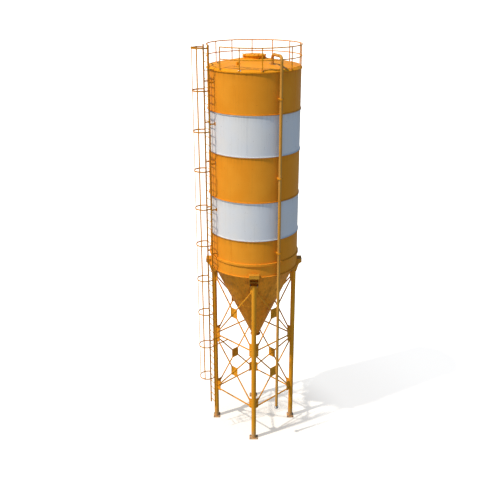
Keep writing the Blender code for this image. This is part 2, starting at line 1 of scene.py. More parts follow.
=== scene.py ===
"""Looks of the cement silo: paints, welds, fasteners, the hatch's fittings and the hose coupling.

Metres, +Z up, in the same frame as the solids. Places are worked out from the silo's own axis.
"""
import math
import random

import bmesh
import bpy
from mathutils import Matrix, Vector


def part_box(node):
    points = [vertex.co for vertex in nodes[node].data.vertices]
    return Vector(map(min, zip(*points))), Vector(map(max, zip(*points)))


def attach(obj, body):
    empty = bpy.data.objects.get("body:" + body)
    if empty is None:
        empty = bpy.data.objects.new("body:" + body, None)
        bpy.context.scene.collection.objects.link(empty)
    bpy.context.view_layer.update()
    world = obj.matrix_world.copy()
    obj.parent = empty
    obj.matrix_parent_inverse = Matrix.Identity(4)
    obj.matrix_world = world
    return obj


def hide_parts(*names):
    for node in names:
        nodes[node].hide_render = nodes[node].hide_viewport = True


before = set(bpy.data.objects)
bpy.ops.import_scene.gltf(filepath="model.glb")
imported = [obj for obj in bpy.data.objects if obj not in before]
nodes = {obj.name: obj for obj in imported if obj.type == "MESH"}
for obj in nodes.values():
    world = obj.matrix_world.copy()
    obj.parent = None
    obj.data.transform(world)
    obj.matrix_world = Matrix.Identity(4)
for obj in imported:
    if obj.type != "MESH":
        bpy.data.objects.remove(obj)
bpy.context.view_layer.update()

# Sizes, levels and angles of the solids that the small parts sit on, in metres and degrees
SHELL_RADIUS = 1.750
RIM_RADIUS = 1.778
RIM_KNEE = 15.235
SHOULDER_RADIUS = 1.700
SHOULDER_LEVEL = 15.315
ROOF_CROWN_RADIUS = 0.460
ROOF_CROWN_LEVEL = 15.540
ROOF_SEAMS = 12
HATCH_RADIUS = 0.410
LID_RADIUS = 0.435
HATCH_HINGE_ANGLE = 118.0
HATCH_CLAMP_ANGLES = (28.0, 208.0, 262.0, 334.0)
LADDER_ANGLE = math.radians(252.5)
LADDER_RADIUS = 1.950
LADDER_HALF_WIDTH = 0.215
SHELL_LADDER_SECTIONS = (("middle", 6.400, 11.200), ("upper", 11.200, 16.100))
STAY_LEVELS = (8.200, 10.000, 11.800, 13.300, 14.800)
CAGE_OFFSET = 0.22504
CAGE_OUTSIDE = 0.328
CAGE_SECTIONS = (("lower", 2.640, 6.400), ("middle", 6.400, 11.200), ("upper", 11.200, 16.040))
STRAP_ANGLES = (-90.0, -45.0, 0.0, 45.0, 90.0)
HOOP_TOP = 16.000
HOOP_PITCH = 1.480
HOOP_COUNT = 10
GUARD_RADIUS = 1.755
POST_ANGLES = (
    (-89.25, -62.60, -35.95),
    (4.25, 30.90, 57.55),
    (84.20, 110.85, 137.50),
    (164.15, 190.80, 217.45, 244.10),
)
PIPE_RADIUS = 0.057
PIPE_BEND = 0.165
PIPE_DOWN_LEG = (1.072, -0.165)
PIPE_WELD_LEVELS = (12.900, 9.900, 6.300, 3.300)
LEG_NAMES = ("right", "rear", "left", "front")
SIDE_NAMES = ("front_right", "rear_right", "rear_left", "front_left")
LEG_RADIUS = 0.0968
CROSS_PLATE_LEVELS = (2.755, 5.490)
GUSSET_LEVELS = ((1.400, 1.850), (3.850, 4.450))
FLANGE_HEIGHT = 0.025
BASE_FLANGE_HEIGHT = 0.030
SKIRT_RING_EDGES = (7.945, 8.025)
OUTLET_NECK_RADIUS = 0.142
COURSES = ("shell_course_1_orange", "shell_course_2_white", "shell_course_3_orange",
           "shell_course_4_white", "shell_course_5_orange")


def corners(node):
    """Lowest and highest corner of a solid, as vectors."""
    low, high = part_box(node)
    return Vector(low), Vector(high)


def middle(node):
    """Middle of a solid's box."""
    low, high = corners(node)
    return (low + high) / 2


axis = middle(COURSES[2])
axis.z = 0.0


UP = Vector((0.0, 0.0, 1.0))
# Turns that lay the Z of a bolt or a pin along X, against X, downward, and along Y
FACE_OUT = Matrix.Rotation(math.pi / 2, 4, "Y")
FACE_IN = Matrix.Rotation(-math.pi / 2, 4, "Y")
FACE_DOWN = Matrix.Rotation(math.pi, 4, "X")
ALONG_Y = Matrix.Rotation(-math.pi / 2, 4, "X")


def moved(x, y, z):
    """Shift by a distance along each axis."""
    return Matrix.Translation((x, y, z))


def polar(radius, angle, height=0.0):
    """Point at a radius and an angle round the silo's axis."""
    return axis + Vector((radius * math.cos(angle), radius * math.sin(angle), height))


def spoke(angle, radius=0.0, height=0.0):
    """Frame that stands at a radius, with X outward from the axis and Z up."""
    return moved(*axis) @ Matrix.Rotation(angle, 4, "Z") @ moved(radius, 0.0, height)


def roof_level(radius):
    """Height of the roof's upper side at a radius."""
    if radius > SHOULDER_RADIUS:
        share = (RIM_RADIUS - radius) / (RIM_RADIUS - SHOULDER_RADIUS)
        return RIM_KNEE + share * (SHOULDER_LEVEL - RIM_KNEE)
    share = (SHOULDER_RADIUS - radius) / (SHOULDER_RADIUS - ROOF_CROWN_RADIUS)
    return SHOULDER_LEVEL + share * (ROOF_CROWN_LEVEL - SHOULDER_LEVEL)


# Materials

SHEEN = 0.07
ORANGE = "EE9624"
ORANGE_FADED = "F29E2C"
RUST = "6E3A1C"
BLOTCH = "6E4414"
# Colour of the painted shade at the rings' joints
CREVICE_SHADE = "5A4326"
PALE_DUST = "D9CDB8"
UPWARD_FACE_BROWN = "A4661C"
DRIED_MUD = "A69A86"
FRAME_GRIME = "84561E"
SMOOTH = {"interpolation_type": "SMOOTHSTEP"}
COLOUR = {"data_type": "RGBA"}
EVEN = (1.0, 1.0, 1.0)


def linear_colour(hex_colour):
    """Turn an sRGB hex colour into linear red, green, blue and full alpha."""
    channels = [int(hex_colour[i:i + 2], 16) / 255 for i in (0, 2, 4)]
    linear = [c / 12.92 if c <= 0.04045 else ((c + 0.055) / 1.055) ** 2.4 for c in channels]
    return (*linear, 1.0)


def add_node(tree, kind, inputs=None, output=0, **settings):
    """Add a node with its settings, its inputs' values or links, and give one of its outputs.

    A Map Range takes its value at 0, the range that it comes from at 1 and 2, and the range that
    it goes to at 3 and 4. A Mix takes its share at 0, vectors at 4 and 5, and colours at 6 and 7.
    """
    made = tree.nodes.new("ShaderNode" + kind)
    for name, value in settings.items():
        setattr(made, name, value)
    for key, value in (inputs or {}).items():
        if isinstance(value, bpy.types.NodeSocket):
            tree.links.new(value, made.inputs[key])
        else:
            made.inputs[key].default_value = value
    return made.outputs[output]


def new_material(name):
    """Material with its node tree, its shader, and the place on the object as a socket."""
    made = bpy.data.materials.new(name)
    made.use_nodes = True
    tree = made.node_tree
    place = add_node(tree, "TexCoord", output="Object")
    return made, tree, tree.nodes["Principled BSDF"], place


def wash(tree, place, base, tint, depths, span, scale, stretch=EVEN, detail=3.0, roughness=0.55,
         where=None):
    """Lay a tint over a colour, from the first depth to the second as a noise crosses its span.

    Gives the new colour and the noise. The wash is all over, or only where a mask lets it be.
    """
    spread = add_node(tree, "Mapping", {"Vector": place, "Scale": stretch})
    field = add_node(tree, "TexNoise", {"Vector": spread, "Scale": scale, "Detail": detail,
                                        "Roughness": roughness})
    share = add_node(tree, "MapRange", {0: field, 1: span[0], 2: span[1], 3: depths[0],
                                        4: depths[1]}, **SMOOTH)
    if where is not None:
        share = add_node(tree, "Math", {0: where, 1: share}, operation="MULTIPLY")
    return add_node(tree, "Mix", {0: share, 6: base, 7: linear_colour(tint)}, 2, **COLOUR), field


def barrel_normal(tree, place, centre, reach):
    """Normal of a truly round upright barrel, where narrow flat sides stand in for it."""
    flat = add_node(tree, "NewGeometry", output="Normal")
    outward = add_node(tree, "VectorMath", {0: place, 1: centre}, operation="SUBTRACT")
    level = add_node(tree, "VectorMath", {0: outward, 1: (1.0, 1.0, 0.0)}, operation="MULTIPLY")
    radial = add_node(tree, "VectorMath", {0: level}, operation="NORMALIZE")
    agreed = add_node(tree, "VectorMath", {0: flat, 1: radial}, "Value", operation="DOT_PRODUCT")
    away = add_node(tree, "VectorMath", {0: level}, "Value", operation="LENGTH")
    # A barrel's side lies within 9 degrees of the round one, and a flange's edge is farther out
    aligned = add_node(tree, "MapRange", {0: agreed, 1: 0.975, 2: 0.988}, **SMOOTH)
    within = add_node(tree, "MapRange", {0: away, 1: reach, 2: reach + 0.004, 3: 1.0, 4: 0.0},
                      **SMOOTH)
    share = add_node(tree, "Math", {0: aligned, 1: within}, operation="MULTIPLY")
    return add_node(tree, "Mix", {0: share, 4: flat, 5: radial}, 1, data_type="VECTOR")


def ring_grime_and_shade(tree, height, runs, base, grime, joint):
    """Paint shade into the joint at a ring, and hang grime under it that thins out 0.34 m below."""
    below = add_node(tree, "MapRange", {0: height, 1: joint - 0.34, 2: joint - 0.02, 3: 0.0,
                                        4: 0.22}, **SMOOTH)
    under = add_node(tree, "MapRange", {0: height, 1: joint - 0.001, 2: joint + 0.004, 3: 1.0,
                                        4: 0.0}, **SMOOTH)
    drawn = add_node(tree, "MapRange", {0: runs, 1: 0.36, 2: 0.62, 3: 0.15, 4: 1.0}, **SMOOTH)
    band = add_node(tree, "Math", {0: below, 1: under}, operation="MULTIPLY")
    band = add_node(tree, "Math", {0: band, 1: drawn}, operation="MULTIPLY")
    base = add_node(tree, "Mix", {0: band, 6: base, 7: linear_colour(grime)}, 2, **COLOUR)
    apart = add_node(tree, "Math", {0: height, 1: joint}, operation="SUBTRACT")
    apart = add_node(tree, "Math", {0: apart}, operation="ABSOLUTE")
    # Painted shade: a dark band that fades out from 10 to 30 mm either side of the joint
    joint_shade = add_node(tree, "MapRange", {0: apart, 1: 0.010, 2: 0.030, 3: 0.35, 4: 0.0}, **SMOOTH)
    return add_node(tree, "Mix", {0: joint_shade, 6: base, 7: linear_colour(CREVICE_SHADE)}, 2,
                    **COLOUR)


def enamel(name, colour, faded, grime, joints=(), dust=0.0, stain=0.0, rust=0.10, splash=0.0,
           dust_colour=PALE_DUST, barrel=None):
    """Sprayed alkyd enamel on steel plate.

    Gives the eye a satin, slightly wavy coat that the sun has bleached in patches, with thin rain
    runs down it, grime and painted shade at the rings, dust on what faces up, a few rusty chips.
    """
    made, tree, shader, place = new_material(name)
    shader.inputs["Specular IOR Level"].default_value = SHEEN
    height = add_node(tree, "SeparateXYZ", {0: place}, "Z")
    # Bleached patches about 0.9 m across
    base, patches = wash(tree, place, linear_colour(colour), faded, (0.0, 0.85), (0.38, 0.68),
                         1.1, (1.0, 1.0, 0.8))
    # Rain runs 60 to 120 mm wide and a metre or two long
    base, runs = wash(tree, place, base, grime, (0.0, 0.08 + stain), (0.52, 0.74), 11.0,
                      (1.0, 1.0, 0.045), 4.0)
    # Fine mottle of 15 mm road dust and dried drops
    base, _ = wash(tree, place, base, grime, (0.0, 0.14 + stain * 0.8), (0.50, 0.78), 55.0,
                   EVEN, 5.0, 0.7)
    if stain:
        # Brown blotches about 0.2 m across, longer than they are wide
        base, _ = wash(tree, place, base, BLOTCH, (0.0, stain), (0.42, 0.66), 5.0,
                       (1.0, 1.0, 0.55), 6.0, 0.65)
    if dust:
        facing = add_node(tree, "NewGeometry", output="Normal")
        upward = add_node(tree, "SeparateXYZ", {0: facing}, "Z")
        ledge = add_node(tree, "MapRange", {0: upward, 1: 0.45, 2: 0.95}, **SMOOTH)
        base, _ = wash(tree, place, base, dust_colour, (dust * 0.35, dust), (0.30, 0.72), 2.6,
                       EVEN, 5.0, 0.6, ledge)
    # Grime under each ring, and painted shade at its joint
    for joint in joints:
        base = ring_grime_and_shade(tree, height, runs, base, grime, joint)
    if splash:
        # Dried mud thrown up by rain, thinning out up to the splash's height
        low = add_node(tree, "MapRange", {0: height, 1: 0.02, 2: splash, 3: 1.0, 4: 0.0}, **SMOOTH)
        base, _ = wash(tree, place, base, DRIED_MUD, (0.2, 0.75), (0.36, 0.62), 14.0,
                       (1.0, 1.0, 0.6), 6.0, 0.7, low)
    # Chips 10 to 30 mm across, showing rust
    chips = add_node(tree, "TexNoise", {"Vector": place, "Scale": 24.0, "Detail": 6.0,
                                        "Roughness": 0.6})
    bare = add_node(tree, "MapRange", {0: chips, 1: 0.80 - rust, 2: 0.815 - rust}, **SMOOTH)
    base = add_node(tree, "Mix", {0: bare, 6: base, 7: linear_colour(RUST)}, 2, **COLOUR)
    tree.links.new(base, shader.inputs["Base Color"])
    gloss = add_node(tree, "MapRange", {0: patches, 1: 0.30, 2: 0.70, 3: 0.36, 4: 0.50}, **SMOOTH)
    matt = add_node(tree, "Math", {0: bare, 1: 0.35}, operation="MULTIPLY")
    rough = add_node(tree, "Math", {0: gloss, 1: matt}, operation="ADD")
    tree.links.new(rough, shader.inputs["Roughness"])
    # Waves of the rolled plate 0.6 m long, and spray texture of 4 mm drawn at 10 mm to show
    waves = add_node(tree, "TexNoise", {"Vector": place, "Scale": 1.7, "Detail": 1.0,
                                        "Roughness": 0.55})
    peel = add_node(tree, "TexNoise", {"Vector": place, "Scale": 100.0, "Detail": 2.0,
                                       "Roughness": 0.55})
    plate = {"Height": waves, "Strength": 0.35, "Distance": 0.020}
    if barrel:
        plate["Normal"] = barrel_normal(tree, place, *barrel)
    relief = add_node(tree, "Bump", plate)
    relief = add_node(tree, "Bump", {"Height": peel, "Strength": 0.20, "Distance": 0.0015,
                                     "Normal": relief})
    relief = add_node(tree, "Bump", {"Height": bare, "Strength": 0.6, "Distance": 0.002,
                                     "Normal": relief}, invert=True)
    tree.links.new(relief, shader.inputs["Normal"])
    return made


def galvanised_steel():
    """Hot-dip zinc on steel: dull grey metal with a crystal pattern of patches about 12 mm wide."""
    made, tree, shader, place = new_material("galvanised_steel")
    shader.inputs["Metallic"].default_value = 1.0
    crystals = add_node(tree, "TexVoronoi", {"Vector": place, "Scale": 85.0}, "Color")
    shade = add_node(tree, "SeparateColor", {"Color": crystals}, "Red")
    tone = add_node(tree, "Mix", {0: shade, 6: linear_colour("8C9093"),
                                  7: linear_colour("B4B8BB")}, 2, **COLOUR)
    # Dirt in blotches about 30 mm across
    tone, _ = wash(tree, place, tone, "7A6E60", (0.0, 0.5), (0.5, 0.75), 30.0, EVEN, 4.0)
    tree.links.new(tone, shader.inputs["Base Color"])
    rough = add_node(tree, "MapRange", {0: shade.node.outputs["Green"], 3: 0.38, 4: 0.56},
                     **SMOOTH)
    tree.links.new(rough, shader.inputs["Roughness"])
    return made


def cast_aluminium():
    """Sand-cast aluminium of the hose coupling: soft grey with a 2 mm grain, rubbed bright."""
    made, tree, shader, place = new_material("cast_aluminium")
    shader.inputs["Metallic"].default_value = 1.0
    tone, rubbed = wash(tree, place, linear_colour("9B9C9C"), "C9CACB", (0.0, 1.0), (0.35, 0.7),
                        26.0, EVEN, 4.0)
    tree.links.new(tone, shader.inputs["Base Color"])
    rough = add_node(tree, "MapRange", {0: rubbed, 1: 0.35, 2: 0.7, 3: 0.55, 4: 0.36}, **SMOOTH)
    tree.links.new(rough, shader.inputs["Roughness"])
    grain = add_node(tree, "TexNoise", {"Vector": place, "Scale": 420.0, "Detail": 2.0,
                                        "Roughness": 0.55})
    relief = add_node(tree, "Bump", {"Height": grain, "Strength": 0.3, "Distance": 0.001})
    tree.links.new(relief, shader.inputs["Normal"])
    return made


def black_rubber():
    """Moulded nitrile rubber seal: matt near-black, greyed by dust."""
    made, tree, shader, place = new_material("black_rubber")
    tone, _ = wash(tree, place, linear_colour("1B1B1A"), "5C554A", (0.05, 0.8), (0.45, 0.8), 20.0,
                   EVEN, 5.0)
    tree.links.new(tone, shader.inputs["Base Color"])
    shader.inputs["Roughness"].default_value = 0.75
    return made


def floor_plaster():
    """Pale matt floor with a faint glow that lifts its shadows more, the farther out they fall."""
    made, tree, shader, place = new_material("floor_plaster")
    clouds = add_node(tree, "TexNoise", {"Vector": place, "Scale": 0.4, "Detail": 3.0,
                                         "Roughness": 0.55})
    tone = add_node(tree, "Mix", {0: clouds, 6: linear_colour("C8C8C8"),
                                  7: linear_colour("CECECD")}, 2, **COLOUR)
    tree.links.new(tone, shader.inputs["Base Color"])
    shader.inputs["Roughness"].default_value = 0.9
    shader.inputs["Specular IOR Level"].default_value = 0.1
    away = add_node(tree, "VectorMath", {0: place, 1: axis}, "Value", operation="DISTANCE")
    glow = (*GLOW_NEAR, 1.0)
    for (start, end), farther in zip(GLOW_SPANS, (GLOW_MIDWAY, GLOW_FAR)):
        share = add_node(tree, "MapRange", {0: away, 1: start, 2: end}, **SMOOTH)
        glow = add_node(tree, "Mix", {0: share, 6: glow, 7: (*farther, 1.0)}, 2, **COLOUR)
    tree.links.new(glow, shader.inputs["Emission Color"])
    shader.inputs["Emission Strength"].default_value = 1.0
    return made


# Mesh helpers

# Widths across the flats of hexagon heads, by the size of their bolt
M8 = 0.013
M10 = 0.017
M12 = 0.019
M16 = 0.024
M20 = 0.030

# Radii of the weld beads
HEAVY_BEAD = 0.0060
RING_BEAD = 0.0055
SEAM_BEAD = 0.0052
PLATE_BEAD = 0.0050
ROOF_BEAD = 0.0045
FINE_BEAD = 0.0040

# Angles in degrees past which an edge stays sharp
BEAD_EDGE = 60.0
BOLT_EDGE = 20.0


def add_box(shape, size, place):
    """Add a box of the given size, with place taking its middle from the origin."""
    bmesh.ops.create_cube(shape, size=1.0, matrix=place @ Matrix.Diagonal((*size, 1.0)))


def add_disc(shape, place, radius, height, sides, top_radius=None):
    """Add a round or many-sided block that stands on place and rises along its Z."""
    bmesh.ops.create_cone(
        shape, cap_ends=True, segments=sides, radius1=radius,
        radius2=radius if top_radius is None else top_radius, depth=height,
        matrix=place @ moved(0.0, 0.0, height / 2))


def add_bolt(shape, place, across):
    """Add a washer and a chamfered hexagon head that stand on place along its Z."""
    corner = across / math.sqrt(3)
    washer = across * 0.14
    head = across * 0.64
    add_disc(shape, place, across * 0.92, washer, 16)
    spun = place @ Matrix.Rotation(random.uniform(0.0, math.pi / 3), 4, "Z")
    add_disc(shape, spun @ moved(0, 0, washer), corner, head * 0.86, 6)
    add_disc(shape, spun @ moved(0, 0, washer + head * 0.86), corner, head * 0.14, 6,
             corner * 0.86)


def add_stud(shape, place, across, length):
    """Add a washer, a hexagon nut and the end of its stud."""
    add_bolt(shape, place, across)
    add_disc(shape, place, across * 0.32, length, 12, across * 0.29)


def sweep(shape, points, radii, up, sides=6, closed=False):
    """Sweep a round section of changing radius along points, with closed ends."""
    count = len(points)
    rings = []
    for i, point in enumerate(points):
        ahead = points[(i + 1) % count] if closed or i < count - 1 else point
        behind = points[i - 1] if closed or i > 0 else point
        along = (ahead - behind).normalized()
        side = along.cross(up).normalized()
        over = side.cross(along)
        ring = []
        for k in range(sides):
            turn = math.tau * k / sides
            offset = side * math.cos(turn) + over * math.sin(turn)
            ring.append(shape.verts.new(point + offset * radii(i)))
        rings.append(ring)
    pairs = list(zip(rings, rings[1:] + rings[:1])) if closed else list(zip(rings, rings[1:]))
    for first, second in pairs:
        for k in range(sides):
            shape.faces.new((first[k], first[(k + 1) % sides],
                             second[(k + 1) % sides], second[k]))
    if not closed:
        shape.faces.new(rings[0])
        shape.faces.new(rings[-1])


def ripple(size):
    """Radius of a hand-laid weld bead along its run, with its overlapping ripples."""
    wander = random.Random(round(size * 1e6))
    phases = [wander.uniform(0.0, math.tau) for _ in range(3)]

    def radius(i):
        slow = 0.08 * math.sin(i * 0.13 + phases[0]) + 0.05 * math.sin(i * 0.31 + phases[1])
        return size * (1.0 + slow + (0.10 if i % 2 else -0.06))
    return radius


def ring_bead(shape, radius, level, size, centre=None, steps=360):
    """Weld bead round the axis, or round another upright centre."""
    centre = axis if centre is None else centre
    points = [Vector((centre.x + radius * math.cos(math.tau * i / steps),
                      centre.y + radius * math.sin(math.tau * i / steps), level))
              for i in range(steps)]
    sweep(shape, points, ripple(size), UP, 6, True)


def line_bead(shape, start, end, size, up):
    """Straight weld bead from start to end, in steps of about 14 mm."""
    steps = max(2, round((end - start).length / 0.014))
    points = [start.lerp(end, i / steps) for i in range(steps + 1)]
    sweep(shape, points, ripple(size), up, 6)


def turned(shape, profile, centre, steps):
    """Turn a closed profile of (radius, height) round an upright centre."""
    rings = []
    for radius, height in profile:
        if radius < 1e-6:
            rings.append([shape.verts.new((centre.x, centre.y, height))])
            continue
        rings.append([shape.verts.new((centre.x + radius * math.cos(math.tau * i / steps),
                                       centre.y + radius * math.sin(math.tau * i / steps),
                                       height)) for i in range(steps)])
    for here, there in zip(rings, rings[1:] + rings[:1]):
        if len(here) == 1 and len(there) == 1:
            continue
        for i in range(steps):
            j = (i + 1) % steps
            if len(here) == 1:
                shape.faces.new((here[0], there[j], there[i]))
            elif len(there) == 1:
                shape.faces.new((here[i], here[j], there[0]))
            else:
                shape.faces.new((here[i], here[j], there[j], there[i]))


def place_piece(name, shape, finish, sharp_past, replaced=None):
    """Turn a finished bmesh into a piece that rides on the silo."""
    bmesh.ops.recalc_face_normals(shape, faces=shape.faces)
    mesh = bpy.data.meshes.new(name)
    shape.to_mesh(mesh)
    shape.free()
    mesh.materials.append(finish)
    piece = bpy.data.objects.new(name, mesh)
    bpy.context.scene.collection.objects.link(piece)
    mesh.shade_smooth()
    mesh.set_sharp_from_angle(angle=math.radians(sharp_past))
    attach(piece, "root")
    if replaced:
        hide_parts(replaced)


# Camera, light and floor

CAMERA_FROM_AXIS = Vector((18.889, -19.111, 18.448))
CAMERA_TILT = 68.65
CAMERA_TURN = 45.0
CAMERA_LENS = 50.99
SUN_TRAVEL = (math.cos(math.radians(73.0)), math.sin(math.radians(73.0)), -1.50)
SUN_STRENGTH = 3.95
SUN_COLOUR = (1.0, 0.905, 0.775)
SUN_SPREAD = 2.5
SKY_ABOVE = (0.13, 0.25, 0.44)
SKY_BELOW = (0.45, 0.45, 0.43)
OPEN_SIDE = (math.cos(math.radians(300.0)), math.sin(math.radians(300.0)), 0.0)
OPEN_SIDE_GAIN = 1.22
GLOW_NEAR = (0.455, 0.387, 0.279)
GLOW_MIDWAY = (0.828, 0.760, 0.652)
GLOW_FAR = (0.900, 0.832, 0.724)
GLOW_SPANS = ((1.2, 4.6), (4.6, 10.0))
FLOOR_SIZE = 1400.0


def build_stage():
    """Camera at the photograph's angle, a sun from the left, a soft sky and a pale floor."""
    scene = bpy.context.scene
    camera = bpy.data.objects.new("camera", bpy.data.cameras.new("camera"))
    camera.location = axis + CAMERA_FROM_AXIS
    camera.rotation_euler = (math.radians(CAMERA_TILT), 0.0, math.radians(CAMERA_TURN))
    camera.data.lens = CAMERA_LENS
    camera.data.sensor_width = 36.0
    camera.data.clip_end = 2000.0
    scene.collection.objects.link(camera)
    scene.camera = camera
    sun = bpy.data.objects.new("sun", bpy.data.lights.new("sun", "SUN"))
    sun.data.energy = SUN_STRENGTH
    sun.data.angle = math.radians(SUN_SPREAD)
    sun.data.color = SUN_COLOUR
    sun.rotation_euler = Vector(SUN_TRAVEL).to_track_quat("-Z", "Y").to_euler()
    scene.collection.objects.link(sun)
    world = bpy.data.worlds.new("soft_sky")
    scene.world = world
    world.use_nodes = True
    tree = world.node_tree
    sky = tree.nodes["Background"]
    direction = add_node(tree, "TexCoord", output="Generated")
    height = add_node(tree, "SeparateXYZ", {0: direction}, "Z")
    upper = add_node(tree, "MapRange", {0: height, 1: -0.25, 2: 0.25}, **SMOOTH)
    tone = add_node(tree, "Mix", {0: upper, 6: (*SKY_BELOW, 1.0), 7: (*SKY_ABOVE, 1.0)}, 2,
                    **COLOUR)
    tree.links.new(tone, sky.inputs["Color"])
    toward = add_node(tree, "VectorMath", {0: direction, 1: OPEN_SIDE}, "Value",
                      operation="DOT_PRODUCT")
    gain = add_node(tree, "MapRange", {0: toward, 1: -0.1, 2: 0.95, 3: 1.0, 4: OPEN_SIDE_GAIN},
                    **SMOOTH)
    tree.links.new(gain, sky.inputs["Strength"])
    shape = bmesh.new()
    bmesh.ops.create_grid(shape, x_segments=1, y_segments=1, size=FLOOR_SIZE / 2)
    mesh = bpy.data.meshes.new("floor")
    shape.to_mesh(mesh)
    shape.free()
    mesh.materials.append(floor_plaster())
    floor = bpy.data.objects.new("floor", mesh)
    floor.location.z = -0.001
    scene.collection.objects.link(floor)
    floor.visible_diffuse = False
    floor.visible_glossy = False
    scene.view_settings.view_transform = "Standard"


# Pieces

def build_shell_welds(finishes):
    """Beads on both sides of each ring, and the staggered upright seams of each course."""
    at_ring = SHELL_RADIUS + 0.002
    at_plate = SHELL_RADIUS - 0.001
    for number, node in enumerate(COURSES, 1):
        low, high = corners(node)
        shape = bmesh.new()
        lower_flange = FLANGE_HEIGHT if number > 1 else BASE_FLANGE_HEIGHT
        ring_bead(shape, at_ring, low.z + lower_flange + 0.001, RING_BEAD)
        if number < len(COURSES):
            ring_bead(shape, at_ring, high.z - FLANGE_HEIGHT - 0.001, RING_BEAD)
        if number == 1:
            for edge in SKIRT_RING_EDGES:
                ring_bead(shape, at_ring, edge, HEAVY_BEAD)
        for turn in (0, 1):
            angle = math.radians(38.0 + 67.0 * number + 180.0 * turn)
            line_bead(shape, polar(at_plate, angle, low.z + 0.03),
                      polar(at_plate, angle, high.z - 0.03), SEAM_BEAD, polar(1.0, angle) - axis)
        place_piece(f"weld_beads_course_{number}", shape, finishes[node], BEAD_EDGE)


def build_roof_welds(finish):
    """Seams between the roof's sectors, and the beads round its hatch, shoulder and rim."""
    shape = bmesh.new()
    for number in range(ROOF_SEAMS):
        angle = math.tau * (number + 0.5) / ROOF_SEAMS
        crown = polar(ROOF_CROWN_RADIUS, angle, ROOF_CROWN_LEVEL)
        shoulder = polar(SHOULDER_RADIUS, angle, SHOULDER_LEVEL)
        line_bead(shape, crown, shoulder, ROOF_BEAD, UP)
        line_bead(shape, shoulder, polar(RIM_RADIUS - 0.003, angle, RIM_KNEE + 0.003), ROOF_BEAD,
                  UP)
    ring_bead(shape, HATCH_RADIUS + 0.001, ROOF_CROWN_LEVEL + 0.001, HEAVY_BEAD, steps=180)
    ring_bead(shape, SHOULDER_RADIUS, SHOULDER_LEVEL - 0.001, FINE_BEAD)
    ring_bead(shape, RIM_RADIUS - 0.002, RIM_KNEE, FINE_BEAD)
    ring_bead(shape, RIM_RADIUS - 0.003, corners("roof_cone")[0].z + 0.001, FINE_BEAD)
    place_piece("weld_beads_roof", shape, finish, BEAD_EDGE)


def build_hopper_welds(finish):
    """Four seams down the cone, one round it, and the bead above its flange."""
    low, high = corners("hopper_cone")
    outlet = middle("outlet_flange")
    outlet.z = 0.0
    top_radius = (high.x - low.x) / 2

    def on_cone(angle, share):
        centre = axis.lerp(outlet, share)
        radius = top_radius + share * (OUTLET_NECK_RADIUS - top_radius)
        return Vector((centre.x + radius * math.cos(angle), centre.y + radius * math.sin(angle),
                       high.z + share * (low.z - high.z)))

    shape = bmesh.new()
    for number in range(4):
        angle = math.radians(22.0 + 90.0 * number)
        line_bead(shape, on_cone(angle, 0.05), on_cone(angle, 0.985), RING_BEAD,
                  polar(1.0, angle) - axis)
    girth = [on_cone(math.tau * i / 240, 0.52) for i in range(240)]
    sweep(shape, girth, ripple(RING_BEAD), UP, 6, True)
    ring_bead(shape, OUTLET_NECK_RADIUS + 0.003, low.z + 0.004, PLATE_BEAD, outlet, 90)
    place_piece("weld_beads_hopper", shape, finish, BEAD_EDGE)


def build_outlet_bolts(finish):
    """Bolts through the outlet's flange, heads above and nuts below."""
    low, high = corners("outlet_flange")
    centre = middle("outlet_flange")
    bolt_count = 12
    circle = 0.184
    shape = bmesh.new()
    for number in range(bolt_count):
        angle = math.tau * (number + 0.5) / bolt_count
        x = centre.x + circle * math.cos(angle)
        y = centre.y + circle * math.sin(angle)
        add_bolt(shape, moved(x, y, high.z), M16)
        add_stud(shape, moved(x, y, low.z) @ FACE_DOWN, M16, 0.028)
    place_piece("outlet_bolts", shape, finish, BOLT_EDGE)


def build_leg_details(paint, zinc):
    """Anchor nuts at each foot, bolts through each cap, and the weld beads round the tube."""
    foot_thickness = 0.025
    cap_thickness = 0.020
    splice_level = 3.620
    for number, name in enumerate(LEG_NAMES):
        node = f"leg_{name}"
        top = corners(node)[1].z
        upright = middle(node)
        upright.z = 0.0
        at_leg = moved(*upright) @ Matrix.Rotation(math.radians(45.0 + 90.0 * number), 4, "Z")
        shape = bmesh.new()
        for across in (-0.140, 0.140):
            for out in (-0.105, 0.105):
                add_stud(shape, at_leg @ moved(out, across, foot_thickness), M20, 0.055)
        place_piece(f"anchor_bolts_{name}", shape, zinc, BOLT_EDGE)
        shape = bmesh.new()
        for across in (-0.135, 0.135):
            for out in (-0.060, 0.060):
                add_bolt(shape, at_leg @ moved(out, across, top), M20)
                add_stud(shape, at_leg @ moved(out, across, top - cap_thickness) @ FACE_DOWN,
                         M20, 0.034)
        place_piece(f"cap_bolts_{name}", shape, zinc, BOLT_EDGE)
        shape = bmesh.new()
        at_plate = LEG_RADIUS + 0.002
        ring_bead(shape, at_plate, foot_thickness + 0.002, RING_BEAD, upright, 72)
        ring_bead(shape, at_plate, top - cap_thickness - 0.002, PLATE_BEAD, upright, 72)
        ring_bead(shape, LEG_RADIUS, splice_level, ROOF_BEAD, upright, 72)
        place_piece(f"weld_beads_leg_{name}", shape, paint, BEAD_EDGE)


